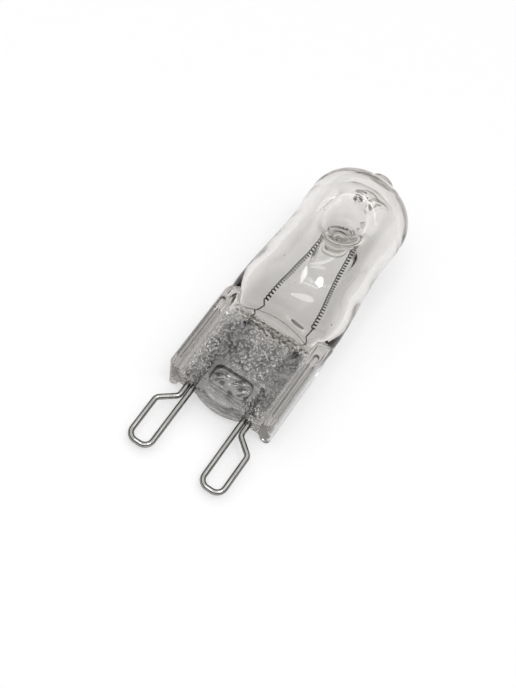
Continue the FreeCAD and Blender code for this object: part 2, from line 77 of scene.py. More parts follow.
def add_camera():
    """A camera at the photograph's viewing angle."""
    data = bpy.data.cameras.new("camera")
    data.sensor_width = SENSOR_WIDTH
    data.lens = FOCAL_PIXELS * SENSOR_WIDTH / FRAME_HEIGHT
    data.clip_start, data.clip_end = CLIP_START, CLIP_END
    camera = bpy.data.objects.new("camera", data)
    back = (CAMERA_AT - CAMERA_TARGET).normalized()
    right = Vector((math.cos(CAMERA_ROLL), math.sin(CAMERA_ROLL), 0)).cross(back).normalized()
    turn = Matrix((right, back.cross(right), back)).transposed()
    camera.matrix_world = LAY @ Matrix.Translation(CAMERA_AT * MM) @ turn.to_4x4()
    bpy.context.scene.collection.objects.link(camera)
    bpy.context.scene.camera = camera


# Sizes of the pinched base: ribs with sunk panels, pebbled web, lug and pocket

BASE_WIDTH, BASE_THICKNESS, BASE_CORNER = 13.0, 5.0, 0.7
RIB_FACE, RIB_LEAN, RIB_EDGE, RIB_END, RIB_TOE, RIB_NOSE = 1.1, 0.4, 0.22, 12.1, 0.4, 2.3
GROOVE_LOW, GROOVE_HIGH, GROOVE_WIDTH, GROOVE_DEPTH = 1.2, 9.8, 0.6, 0.45
GROOVE_FILLET, GROOVE_EDGE = 0.06, 0.04
WEB_THICKNESS = 2.3
BEADS_AT, BEAD_WIDTH, BEAD_RISE, BEAD_BOW = (9.5, 9.95), 0.13, 0.07, 0.35
LUG_WIDTH, LUG_THICKNESS, LUG_TOP, LUG_BOW, LUG_CORNER, LUG_FILLET = 5.3, 2.8, 4.0, 0.6, 0.6, 0.4
LUG_LINES_AT, LUG_LINE_WIDTH, LUG_LINE_RISE = (0.1, 0.6), 0.17, 0.07
POCKET_LENGTH, POCKET_HEIGHT, POCKET_RISE, POCKET_DEPTH, POCKET_CORNER = 4.6, 2.3, 1.2, 0.5, 0.7
POCKET_FILLET, POCKET_EDGE = 0.2, 0.15

# Waves in the pressed glass: each (wave, sway, the sway's own wave), with waves in radians per millimetre

PEBBLE_RISE, PEBBLES_ALONG, PEBBLES_ACROSS = 0.06, (7.9, 1.9, 1.3), (8.3, 1.7, 1.1)
POCKET_WAVE_RISE, POCKET_WAVE_ACROSS = 0.11, (3.1, 1.2, 2.3)
POCKET_WAVE_ALONG, POCKET_WAVE_SKEW = 3.7, 0.9

# Sizes of the bulb: oval sections along X, dome, exhaust tip, dimples with their post, and hollow

SECTIONS_AT = (10.4, 12.6, 15.3, 19.3, 23.6, 27.5, 29.5)
OUTER_WIDTHS = (12.5, 13.2, 13.15, 12.45, 11.9, 12.2, 12.2)
OUTER_DEPTHS = (3.6, 7.0, 9.5, 11.3, 11.9, 12.2, 12.2)
INNER_WIDTHS = (8.2, 10.2, 11.05, 10.35, 9.8, 10.1, 10.1)
INNER_DEPTHS = (1.2, 3.4, 7.4, 9.2, 9.8, 10.1, 10.1)
TUBE_RADIUS, TUBE_WALL, DOME_WALL = 6.1, 1.05, 1.2
NECK_EDGE, SHOULDER_FILLET = 0.5, 0.7
DOME_EDGE, DOME_TOP, DOME_ROUND = 31.8, 32.7, 4.2
TIP_END, TIP_RADIUS, TIP_ROUND, TIP_FILLET = 34.3, 1.6, 0.6, 0.5
BORE_RADIUS, BORE_RISE, BORE_FILLET = 1.2, 1.4, 0.3
LIP_RADIUS, LIP_WIRE, LIP_AT, LIP_FILLET = 1.9, 0.5, 31.25, 0.3
FLOOR_AT, FLOOR_ARCH, FLOOR_HALF, FLOOR_ROUND = 11.1, 0.7, 4.3, 0.4
DIMPLE_AT, DIMPLE_SPREAD, DIMPLE_RISE, DIMPLE_DEPTH, DIMPLE_GAP = 24.1, 1.95, 2.4, 4.9, 2.4
DIMPLE_EDGE = 0.9
POST_RADIUS, POST_FLARE, POST_FILLET = 1.35, 7.05, 0.6
BUBBLE_AT, BUBBLE_HALVES, BUBBLE_LEAN = (11.88, -2.12, 2.1), (0.2, 0.9, 0.18), 0.125

# Unevenness round an axis: each wave (height, count round the axis, phase, per millimetre of X in the hollow)

DIMPLE_LOBES = ((0.1, 2, 0.7), (0.07, 3, 2.0))
RIPPLES = ((0.015, 2, 1.1), (0.01, -3, 1.9))
FOLDS = ((0.26, 3, 0.8), (0.18, 5, -2.0))

# Shapes of the glass, as distances in millimetres: negative inside, positive outside

TINY = 1e-6


def soft_min(one, two, reach):
    """Union of two shapes with a fillet where they meet."""
    share = np.clip(0.5 + 0.5 * (two - one) / reach, 0, 1)
    return two * (1 - share) + one * share - reach * share * (1 - share)


def soft_max(one, two, reach):
    """Common part of two shapes with a soft edge where they cross."""
    return -soft_min(-one, -two, reach)


def round_max(one, two, radius):
    """Common part of two square-on shapes with an edge of that radius."""
    one, two = one + radius, two + radius
    return np.minimum(np.maximum(one, two), 0) + np.hypot(np.maximum(one, 0), np.maximum(two, 0)) - radius


def swaying(along, across, wave, sway, sway_wave):
    """A wave along one axis whose crests wander along the other."""
    return np.sin(wave * along + sway * np.sin(sway_wave * across))


def lobed(around, turn, waves):
    """Waves round an axis, whose phases grow with turn."""
    return sum(height * np.sin(count * around + phase * turn) for height, count, phase in waves)


def ridges(x, places, width, rise):
    """Fine round ridges across X."""
    return sum(rise * np.exp(-((x - spot) / width) ** 2) for spot in places)


def through_stations(at, stations, values):
    """A smooth curve through values at stations, level beyond both ends."""
    stations, values = np.array(stations), np.array(values)
    slopes = np.gradient(values, stations)
    slopes[-1] = 0
    at = np.clip(at, stations[0], stations[-1])
    index = np.clip(np.searchsorted(stations, at) - 1, 0, len(stations) - 2)
    run = stations[index + 1] - stations[index]
    t = (at - stations[index]) / run
    low, high = values[index], values[index + 1]
    return (low * (1 + 2 * t) * (1 - t) ** 2 + high * t ** 2 * (3 - 2 * t)
            + run * (slopes[index] * t * (1 - t) ** 2 - slopes[index + 1] * t ** 2 * (1 - t)))


def oval_tube(x, y, z, widths, depths, radius):
    """Radius-like coordinate of an oval tube that has the given radius on its surface."""
    half_y = through_stations(x, SECTIONS_AT, widths) / 2
    half_z = through_stations(x, SECTIONS_AT, depths) / 2
    level = np.maximum(np.hypot(y / half_y, z / half_z), TINY)
    slope = np.hypot(y / half_y ** 2, z / half_z ** 2) / level
    return radius + (level - 1) / np.maximum(slope, 1 / np.maximum(half_y, half_z))


def domed(x, radial, radius, edge, top, top_radius, rounding):
    """A tube of that radius closed by a low cone with a rounded corner."""
    crown = Vector((top - edge, top_radius - radius)).normalized()
    normal = np.array((-crown[1], crown[0]))
    corner_radial = radius - rounding
    corner_x = edge - (rounding + normal[1] * (corner_radial - radius)) / normal[0]
    run, rise = x - corner_x, radial - corner_radial
    side, cap = rise, run * normal[0] + rise * normal[1]
    past_corner = (run > 0) & (run * crown[0] + rise * crown[1] < 0)
    return np.where(past_corner, np.hypot(run, rise), np.maximum(side, cap)) - rounding


def pocket_outline(x, y):
    """The pocket in the lug's faces."""
    along = np.abs(x - POCKET_RISE - POCKET_HEIGHT / 2) - POCKET_HEIGHT / 2
    return round_max(np.abs(y) - POCKET_LENGTH / 2, along, POCKET_CORNER)


def pocket_waves(x, y):
    """How uneven the pocket's bed is, between -1 and 1."""
    return swaying(y, x, *POCKET_WAVE_ACROSS) * np.sin(POCKET_WAVE_ALONG * x + POCKET_WAVE_SKEW * y)


def groove_outline(x, y):
    """The long panel with round ends that is sunk into each rib's faces."""
    along = np.abs(x - (GROOVE_LOW + GROOVE_HIGH) / 2) - (GROOVE_HIGH - GROOVE_LOW) / 2
    across = np.abs(np.abs(y) - BASE_WIDTH / 2 + RIB_FACE / 2) - GROOVE_WIDTH / 2
    return round_max(across, along, GROOVE_WIDTH / 2)


def bar_shape(x, y, z):
    """Two ribs with sunk panels, joined by a pebbled web with fine beads under the bulb."""
    wide, deep = np.abs(y), np.abs(z)
    half, top = BASE_WIDTH / 2, BASE_THICKNESS / 2
    wall_run, wall_rise = RIB_LEAN, top - WEB_THICKNESS / 2
    wall_length = math.hypot(wall_run, wall_rise)
    inner_wall = ((half - RIB_FACE - wide) * wall_rise + (deep - top) * wall_run) / wall_length
    rib = round_max(wide - half, deep - top, RIB_EDGE)
    rib = soft_max(rib, inner_wall, 2 * RIB_EDGE)
    rib = np.maximum(rib, round_max(deep - top, x - RIB_END, RIB_NOSE))
    pebbles = PEBBLE_RISE * swaying(x, y, *PEBBLES_ALONG) * swaying(y, x, *PEBBLES_ACROSS)
    bow = BEAD_BOW * (1 - (y / (half - RIB_FACE)) ** 2)
    face = WEB_THICKNESS / 2 + pebbles + ridges(x - bow, BEADS_AT, BEAD_WIDTH, BEAD_RISE)
    web = np.maximum(np.maximum(deep - face, wide - half + RIB_FACE), x - RIB_END)
    bar = round_max(soft_min(rib, web, 2 * RIB_EDGE), -x, RIB_TOE)
    bar = np.maximum(bar, round_max(wide - half, -x, BASE_CORNER))
    groove = soft_max(groove_outline(x, y), top - GROOVE_DEPTH - deep, GROOVE_FILLET)
    return soft_max(bar, -groove, GROOVE_EDGE)


def base_shape(x, y, z):
    """The pinch: the bar and a bowed lug with a pocket in each face."""
    wide, deep = np.abs(y), np.abs(z)
    bow = -LUG_BOW * (1 - (2 * y / LUG_WIDTH) ** 2) - x
    face = LUG_THICKNESS / 2 + ridges(x, LUG_LINES_AT, LUG_LINE_WIDTH, LUG_LINE_RISE)
    lug = round_max(wide - LUG_WIDTH / 2, x - LUG_TOP, LUG_CORNER)
    lug = round_max(round_max(lug, bow, RIB_TOE / 2), deep - face, RIB_TOE)
    bed = LUG_THICKNESS / 2 - POCKET_DEPTH + POCKET_WAVE_RISE * pocket_waves(x, y)
    pocket = soft_max(pocket_outline(x, y), bed - deep, POCKET_FILLET)
    return soft_max(soft_min(bar_shape(x, y, z), lug, LUG_FILLET), -pocket, POCKET_EDGE)


def dimple_shape(x, y, z):
    """The pair of dimples, front and back, as the space that they take."""
    spread = np.where(x > DIMPLE_AT, DIMPLE_RISE, DIMPLE_SPREAD)
    uneven = 1 + lobed(np.arctan2(y, x - DIMPLE_AT), 1, DIMPLE_LOBES)
    off_axis = np.hypot((x - DIMPLE_AT) / spread, y / DIMPLE_SPREAD) * uneven
    fall = DIMPLE_DEPTH * np.exp(-off_axis ** 2)
    bed = DIMPLE_GAP / 2 + DIMPLE_DEPTH - fall
    return (bed - np.abs(z)) / np.hypot(1, 2 * off_axis * fall / DIMPLE_SPREAD)


def outside_shape(x, y, z):
    """The envelope as a full body: bulb, dome, tip and base, less the dimples."""
    radial = oval_tube(x, y, z, OUTER_WIDTHS, OUTER_DEPTHS, TUBE_RADIUS)
    bulb = domed(x, radial, TUBE_RADIUS, DOME_EDGE, DOME_TOP, TIP_RADIUS, DOME_ROUND)
    stub = round_max(np.hypot(y, z) - TIP_RADIUS, x - TIP_END, TIP_ROUND)
    stub = np.maximum(stub, DOME_TOP - DOME_ROUND - x)
    bulb = soft_min(bulb, stub, TIP_FILLET)
    bulb = soft_max(bulb, SECTIONS_AT[0] - x, NECK_EDGE)
    body = soft_min(bulb, base_shape(x, y, z), SHOULDER_FILLET)
    return soft_max(body, -dimple_shape(x, y, z), DIMPLE_EDGE)


def hollow_shape(x, y, z):
    """The space inside the bulb, with the post that the dimples leave across it."""
    radius = TUBE_RADIUS - TUBE_WALL
    radial = oval_tube(x, y, z, INNER_WIDTHS, INNER_DEPTHS, radius)
    space = domed(x, radial, radius, DOME_EDGE - DOME_WALL, DOME_TOP - DOME_WALL, BORE_RADIUS,
                  DOME_ROUND - TUBE_WALL)
    around, off_axis = np.arctan2(z, y), np.hypot(y, z)
    space = space + lobed(around, x, RIPPLES)
    folds = 1 + lobed(around, x, FOLDS)
    bore_top = DOME_TOP - DOME_WALL + BORE_RISE
    bore = off_axis - BORE_RADIUS * folds * np.clip((bore_top - x) / BORE_RISE, -1, 1)
    space = soft_min(space, np.maximum(bore, DOME_EDGE - DOME_ROUND - x), BORE_FILLET)
    lip = np.hypot(off_axis - LIP_RADIUS * folds, x - LIP_AT) - LIP_WIRE
    space = soft_max(space, -lip, LIP_FILLET)
    floor = FLOOR_AT + FLOOR_ARCH * (1 - (y / FLOOR_HALF) ** 2) - x
    space = round_max(space, floor, FLOOR_ROUND)
    waist = POST_FLARE - np.sqrt(POST_FLARE ** 2 - z ** 2)
    post = np.hypot(x - DIMPLE_AT, y) - POST_RADIUS - waist
    return soft_max(space, -post, POST_FILLET)


def bubble_shape(x, y, z):
    """A small stretched bubble in the shoulder's front wall."""
    across = y - BUBBLE_AT[1]
    offsets = (x - BUBBLE_AT[0] - BUBBLE_LEAN * across, across, z - BUBBLE_AT[2])
    level = np.sqrt(sum((offset / half) ** 2 for offset, half in zip(offsets, BUBBLE_HALVES)))
    return (level - 1) * min(BUBBLE_HALVES)


def glass_shape(points):
    """The envelope's glass: its outside less the hollow and the bubble."""
    x, y, z = points[..., 0], points[..., 1], points[..., 2]
    glass = np.maximum(outside_shape(x, y, z), -hollow_shape(x, y, z))
    return np.maximum(glass, -bubble_shape(x, y, z))


# Mesh of a shape given by its distance, on a grid of (start, end, step) runs along X, Y and Z

GLASS_GRID = (((-1.2, 12.8, 0.125), (12.8, 26.4, 0.26), (26.4, 34.8, 0.18)),
              ((-7, -6.65, 0.175), (-6.65, -5.15, 0.1), (-5.15, 5.15, 0.2), (5.15, 6.65, 0.1),
               (6.65, 7, 0.175)),
              ((-7, -2.8, 0.2), (-2.8, 2.8, 0.14), (2.8, 7, 0.2)))
SLOPE_STEP = 0.02
SETTLE_ROUNDS, SETTLE_STEP, LEAST_STEEP = 3, 0.1, 0.1
DOUBLES_WITHIN = 0.001


def net_points(field, cells):
    """For every cell that the surface crosses, the mean of the crossings on its twelve edges."""
    total, count = np.zeros((len(cells), 3)), np.zeros((len(cells), 1))
    for axis in range(3):
        step = np.eye(3, dtype=int)[axis]
        side, rise = np.eye(3, dtype=int)[[(axis + 1) % 3, (axis + 2) % 3]]
        for corner in (0 * step, side, rise, side + rise):
            one = field[tuple((cells + corner).T)]
            two = field[tuple((cells + corner + step).T)]
            crossed = (one < 0) != (two < 0)
            share = np.divide(one, one - two, out=np.zeros_like(one), where=crossed)
            total += np.where(crossed[:, None], corner + share[:, None] * step, 0)
            count += crossed[:, None]
    return cells + total / count


def net_faces(field, index):
    """A quad round every grid edge that the surface crosses, turned to face outwards."""
    faces = []
    for axis in range(3):
        low = np.moveaxis(field, axis, 0)[:-1, 1:-1, 1:-1] < 0
        high = np.moveaxis(field, axis, 0)[1:, 1:-1, 1:-1] < 0
        numbers = np.moveaxis(index, axis, 0)
        ring = [numbers[:, :-1, :-1], numbers[:, 1:, :-1], numbers[:, 1:, 1:], numbers[:, :-1, 1:]]
        for outwards, crossed in ((axis != 1, low & ~high), (axis == 1, high & ~low)):
            quads = np.stack([corner[crossed] for corner in ring], axis=1)
            faces.append(quads if outwards else quads[:, ::-1])
    return np.concatenate(faces)


def slope_of(shape, points):
    """How the shape's distance grows along each axis."""
    return np.stack([(shape(points + move) - shape(points - move)) / (2 * SLOPE_STEP)
                     for move in np.eye(3) * SLOPE_STEP], axis=1)


def on_surface(shape, points):
    """Points moved along the shape's slope until they lie on its surface."""
    for _ in range(SETTLE_ROUNDS):
        slope = slope_of(shape, points)
        steep = np.maximum((slope ** 2).sum(axis=1, keepdims=True), LEAST_STEEP)
        points = points - np.clip(shape(points)[:, None] * slope / steep, -SETTLE_STEP, SETTLE_STEP)
    return points


def grid_lines(runs, coarser):
    """Places of grid lines, from runs of (start, end, step)."""
    lines = [np.linspace(start, end, round((end - start) / step / coarser), endpoint=False)
             for start, end, step in runs]
    return np.append(np.concatenate(lines), runs[-1][1])


def join_doubles(mesh):
    """Make one of the points that came to lie on one spot."""
    edit = bmesh.new()
    edit.from_mesh(mesh)
    bmesh.ops.remove_doubles(edit, verts=edit.verts, dist=DOUBLES_WITHIN * MM)
    edit.to_mesh(mesh)
    edit.free()


def in_lamp(mesh):
    """A laid mesh's points in the lamp's frame."""
    laid = np.empty(3 * len(mesh.vertices), dtype=np.float32)
    mesh.vertices.foreach_get("co", laid)
    return (laid.reshape(-1, 3) - np.array(LAY.translation)) @ np.array(LAY.to_3x3()) / MM


def mesh_of(name, shape, grid, coarser):
    """A smooth mesh of a shape, with its true normals, and its points in the lamp's frame."""
    axes = [grid_lines(runs, coarser) for runs in grid]
    field = np.stack([shape(np.stack(np.meshgrid([x], axes[1], axes[2], indexing="ij"), axis=-1))[0]
                      for x in axes[0]])
    inside = field < 0
    corners = np.stack([inside[i:len(axes[0]) - 1 + i, j:len(axes[1]) - 1 + j, k:len(axes[2]) - 1 + k]
                        for i in (0, 1) for j in (0, 1) for k in (0, 1)])
    active = corners.any(axis=0) & ~corners.all(axis=0)
    index = np.full(active.shape, -1)
    index[active] = np.arange(active.sum())
    cells = net_points(field, np.argwhere(active))
    points = np.stack([np.interp(cells[:, k], np.arange(len(axes[k])), axes[k]) for k in range(3)], axis=1)
    mesh = mesh_from(name, on_surface(shape, points), net_faces(field, index))
    join_doubles(mesh)
    points = in_lamp(mesh)
    facing = slope_of(shape, points) @ np.array(LAY.to_3x3()).T
    mesh.normals_split_custom_set_from_vertices(facing / np.linalg.norm(facing, axis=1, keepdims=True))
    return mesh, points


def mesh_from(name, points, faces):
    """A smooth-shaded mesh from quads and points in the lamp's frame, laid on the floor."""
    turn, shift = np.array(LAY.to_3x3()), np.array(LAY.translation)
    laid = np.asarray(points) * MM @ turn.T + shift
    mesh = bpy.data.meshes.new(name)
    mesh.vertices.add(len(points))
    mesh.vertices.foreach_set("co", laid.astype(np.float32).ravel())
    mesh.loops.add(faces.size)
    mesh.loops.foreach_set("vertex_index", faces.astype(np.int32).ravel())
    mesh.polygons.add(len(faces))
    mesh.polygons.foreach_set("loop_start", np.arange(0, faces.size, 4, dtype=np.int32))
    mesh.polygons.foreach_set("use_smooth", np.ones(len(faces), dtype=bool))
    mesh.update(calc_edges=True)
    mesh.validate()
    return mesh


# Filament

COIL_LOW_AT, COIL_LEFT, COIL_RIGHT = 13.45, 2.49, -3.35
TURN_AT, TURN_RADIUS, TURN_SHIFT = 24.01, 1.86, 0.15
COIL_RADIUS, COIL_PITCH, WIRE_RADIUS, TAIL_RADIUS = 0.2, 0.36, 0.072, 0.08
TAIL_LEFT = ((8.7, 2.65), (10.7, 2.65), (11.5, 2.62), (12.1, 2.35), (12.5, 2.42), (12.9, 2.28))
TAIL_RIGHT = ((8.7, -3.75), (10.6, -3.75), (11.3, -3.7), (11.9, -3.62), (12.3, -3.32), (12.8, -3.4))
TURN_POINTS, COIL_SPACING, TAIL_SPACING, TAIL_SMOOTHING = 40, 0.02, 0.05, 12
COIL_SIDES, TAIL_SIDES = 6, 8
OFF_EVERY_PATH = (0.3, 0.2, 1.0)


def even_points(path, spacing):
    """Points along a polyline, evenly spaced, with their distances."""
    path = np.asarray(path, float)
    lengths = np.concatenate([[0], np.cumsum(np.linalg.norm(np.diff(path, axis=0), axis=1))])
    marks = np.linspace(0, lengths[-1], int(lengths[-1] / spacing) + 1)
    return np.stack([np.interp(marks, lengths, path[:, k]) for k in range(path.shape[1])], axis=1), marks


def swept(path, radius, sides):
    """Points and quads of a round wire that follows a path, closed at both ends."""
    path = np.asarray(path, float)
    along = np.gradient(path, axis=0)
    along /= np.linalg.norm(along, axis=1, keepdims=True)
    first = np.cross(along[0], OFF_EVERY_PATH)
    rings = []
    for spot, heading in zip(path, along):
        first = first - heading * (first @ heading)
        first /= np.linalg.norm(first)
        second = np.cross(heading, first)
        turns = np.linspace(0, 2 * math.pi, sides, endpoint=False)[:, None]
        rings.append(spot + radius * (np.cos(turns) * first + np.sin(turns) * second))
    row, column = np.meshgrid(np.arange(len(path) - 1), np.arange(sides), indexing="ij")
    following = (column + 1) % sides
    quads = np.stack([row * sides + column, row * sides + following,
                      (row + 1) * sides + following, (row + 1) * sides + column], axis=-1)
    strip = np.array([(k, sides - 1 - k, sides - 2 - k, k + 1) for k in range(sides // 2 - 1)])
    ends = [strip, strip[:, ::-1] + (len(path) - 1) * sides]
    return np.concatenate(rings), np.concatenate([quads.reshape(-1, 4), *ends])


def filament_path():
    """The coil's middle line: up one leg, over the post and down the other."""
    turns = np.linspace(0, math.pi, TURN_POINTS)
    over = np.stack([TURN_AT + TURN_RADIUS * np.sin(turns), TURN_RADIUS * np.cos(turns) - TURN_SHIFT], axis=1)
    flat = np.concatenate([[(COIL_LOW_AT, COIL_LEFT)], over, [(COIL_LOW_AT, COIL_RIGHT)]])
    return even_points(flat, COIL_SPACING)


def coiled(path, marks):
    """A helix about a flat path."""
    along = np.gradient(path, axis=0)
    along /= np.linalg.norm(along, axis=1, keepdims=True)
    turn = 2 * math.pi * marks / COIL_PITCH
    sideways = COIL_RADIUS * np.cos(turn)
    return np.stack([path[:, 0] - along[:, 1] * sideways, path[:, 1] + along[:, 0] * sideways,
                     COIL_RADIUS * np.sin(turn)], axis=1)


def smoothed(points):
    """A flat polyline as a smooth curve in the lamp's middle plane."""
    points, _ = even_points(points, TAIL_SPACING)
    for _ in range(TAIL_SMOOTHING):
        points[1:-1] = (points[:-2] + 2 * points[1:-1] + points[2:]) / 4
    return np.column_stack([points, np.zeros(len(points))])


def filament_mesh():
    """The coil and its two plain tails as one mesh."""
    coil = coiled(*filament_path())
    runs = [(coil, WIRE_RADIUS, COIL_SIDES)]
    for tail, end in ((TAIL_LEFT, coil[0]), (TAIL_RIGHT, coil[-1])):
        runs.append((smoothed(tail + (tuple(end[:2]),)), TAIL_RADIUS, TAIL_SIDES))
    points, quads, count = [], [], 0
    for path, radius, sides in runs:
        spots, faces = swept(path, radius, sides)
        points.append(spots)
        quads.append(faces + count)
        count += len(spots)
    return mesh_from("filament_coil", np.concatenate(points), np.concatenate(quads))


# Nodes that the materials share

def new_material(name):
    """A material with a principled shader, that shader and the output."""
    material = bpy.data.materials.new(name)
    material.use_nodes = True
    nodes = material.node_tree.nodes
    nodes.clear()
    shader = nodes.new("ShaderNodeBsdfPrincipled")
    output = nodes.new("ShaderNodeOutputMaterial")
    material.node_tree.links.new(shader.outputs[0], output.inputs["Surface"])
    return material, shader, output


def noise(material, scale, detail=4, stretch=(1, 1, 1)):
    """A noise texture along the object's own axes; scale is in features per millimetre."""
    nodes, links = material.node_tree.nodes, material.node_tree.links
    place_in = nodes.new("ShaderNodeTexCoord")
    mapping = nodes.new("ShaderNodeMapping")
    mapping.inputs["Scale"].default_value = [scale / MM * part for part in stretch]
    texture = nodes.new("ShaderNodeTexNoise")
    texture.inputs["Scale"].default_value = 1
    texture.inputs["Detail"].default_value = detail
    links.new(place_in.outputs["Object"], mapping.inputs["Vector"])
    links.new(mapping.outputs["Vector"], texture.inputs["Vector"])
    return texture.outputs["Fac"]


def ranged(material, source, low, high, start=0.0, end=1.0):
    """A value stretched from the range start to end to the range low to high."""
    stretch = material.node_tree.nodes.new("ShaderNodeMapRange")
    for name, number in (("From Min", start), ("From Max", end), ("To Min", low), ("To Max", high)):
        stretch.inputs[name].default_value = number
    material.node_tree.links.new(source, stretch.inputs["Value"])
    return stretch.outputs["Result"]


def blended(material, factor, one, two):
    """One colour turning into another; the first may come from other nodes."""
    mix = material.node_tree.nodes.new("ShaderNodeMix")
    mix.data_type = "RGBA"
    if isinstance(one, tuple):
        mix.inputs["A"].default_value = (*one, 1)
    else:
        material.node_tree.links.new(one, mix.inputs["A"])
    mix.inputs["B"].default_value = (*two, 1)
    material.node_tree.links.new(factor, mix.inputs["Factor"])
    return mix.outputs["Result"]


def combined(material, operation, one, two):
    """Two values in one sum or product, held between 0 and 1."""
    node = material.node_tree.nodes.new("ShaderNodeMath")
    node.operation = operation
    node.use_clamp = True
    material.node_tree.links.new(one, node.inputs[0])
    material.node_tree.links.new(two, node.inputs[1])
    return node.outputs["Value"]


def bumped(material, shader, height, distance):
    """Relief on a shader from a height between 0 and 1 and a depth in millimetres."""
    bump = material.node_tree.nodes.new("ShaderNodeBump")
    bump.inputs["Distance"].default_value = distance * MM
    bump.inputs["Strength"].default_value = 1
    material.node_tree.links.new(height, bump.inputs["Height"])
    material.node_tree.links.new(bump.outputs["Normal"], shader.inputs["Normal"])


def mask(material, name):
    """A value that the mesh keeps at each of its points."""
    attribute = material.node_tree.nodes.new("ShaderNodeAttribute")
    attribute.attribute_name = name
    return attribute.outputs["Fac"]


# Glass; a range is (value below, value above, start, end), and densities are per millimetre

QUARTZ_TINT, QUARTZ_DARK, QUARTZ_IOR = (0.955, 0.947, 0.94), (0.03, 0.03, 0.03), 1.46
ABSORBED_COLOUR, ABSORBED_PER_METRE = (0.55, 0.51, 0.465, 1), 115
GRAIN_DENSITY, GRAIN_RISE, PEBBLE_ROUGH = 2.6, 0.3, 0.04
# The specks and blotches darken the pebbled web: painted shade, in place of the dark surroundings that its
# pebbles refract.
SPECK_DENSITY, SPECK_RANGE = 3.4, (1, 0.05, 0.5, 0.58)
BLOTCH_DENSITY, BLOTCH_RANGE = 1.0, (1, 0.6, 0.35, 0.65)
DUST_DENSITY, DUST_RANGE = 0.35, (0.9, 0, 0.02, 0.035)

# Where the glass is pebbled, and where shade is painted into its colour as dark specks and grey: borders and
# fades in millimetres, shades from 0 to 1

BASE_FADE_AT, BASE_FADE = 10.3, 0.6
WEB_HALF, WEB_LOW, LUG_MARGIN, PEBBLE_FADE = 4.9, 0.3, 0.1, 0.4
SPECKLE_END, SPECKLE_FADE = 10.0, 1.2
POCKET_FADE, POCKET_RIM, POCKET_CRESTS = 0.2, 0.2, (0.25, 0.75)
GROOVE_FADE, GROOVE_RIM = 0.15, 0.1
BUBBLE_SKIN = 0.03
PEBBLES_ON_LUG = 0.12
# Painted shade: grey on the lug, the pocket's bed and rim, the ribs, the groove panels and their rims, and
# the bubble's skin, in place of the darkness that their glass refracts.
SHADE_ON_LUG, SHADE_IN_POCKET, SHADE_ON_POCKET_RIM = 0.5, 0.6, 0.45
SHADE_ON_RIB, SHADE_IN_GROOVE, SHADE_ON_GROOVE_RIM = 0.05, 0.1, 0.8
SHADE_IN_BUBBLE = 0.6


def dust(material):
    """A few dark specks, far apart."""
    nodes, links = material.node_tree.nodes, material.node_tree.links
    place_in = nodes.new("ShaderNodeTexCoord")
    cells = nodes.new("ShaderNodeTexVoronoi")
    cells.inputs["Scale"].default_value = DUST_DENSITY / MM
    links.new(place_in.outputs["Object"], cells.inputs["Vector"])
    return ranged(material, cells.outputs["Distance"], *DUST_RANGE)


def quartz():
    """Clear glass; the pinch is pebbled by the jaws that pressed it. Its colour also holds painted shade:
    dark specks on the web, and grey on the lug, pocket, ribs, grooves and bubble.
    """
    material, shader, output = new_material("clear_quartz")
    links = material.node_tree.links
    volume = material.node_tree.nodes.new("ShaderNodeVolumeAbsorption")
    volume.inputs["Color"].default_value = ABSORBED_COLOUR
    volume.inputs["Density"].default_value = ABSORBED_PER_METRE
    links.new(volume.outputs["Volume"], output.inputs["Volume"])
    shader.inputs["Transmission Weight"].default_value = 1
    shader.inputs["IOR"].default_value = QUARTZ_IOR
    pebble, speck_shade, shade = [mask(material, name) for name in ("pebble", "speck_shade", "shade")]
    grain = noise(material, GRAIN_DENSITY, detail=1)
    specks = ranged(material, noise(material, SPECK_DENSITY, detail=1), *SPECK_RANGE)
    blotches = ranged(material, noise(material, BLOTCH_DENSITY, detail=1), *BLOTCH_RANGE)
    # darkness: the painted shade of the specks and the grey masks, with the real dust specks added.
    darkness = combined(material, "MULTIPLY", combined(material, "MULTIPLY", specks, blotches), speck_shade)
    for more in (shade, dust(material)):
        darkness = combined(material, "ADD", darkness, more)
    links.new(blended(material, darkness, QUARTZ_TINT, QUARTZ_DARK), shader.inputs["Base Color"])
    links.new(ranged(material, pebble, 0, PEBBLE_ROUGH), shader.inputs["Roughness"])
    bumped(material, shader, combined(material, "MULTIPLY", grain, pebble), GRAIN_RISE)
    return material


def within(distance, fade):
    """1 inside an outline and 0 outside it, with a border of that width."""
    return np.clip(0.5 - distance / fade, 0, 1)


def beside(distance, reach):
    """1 on an outline, falling to 0 that far from it."""
    return np.clip(1 - np.abs(distance) / reach, 0, 1)


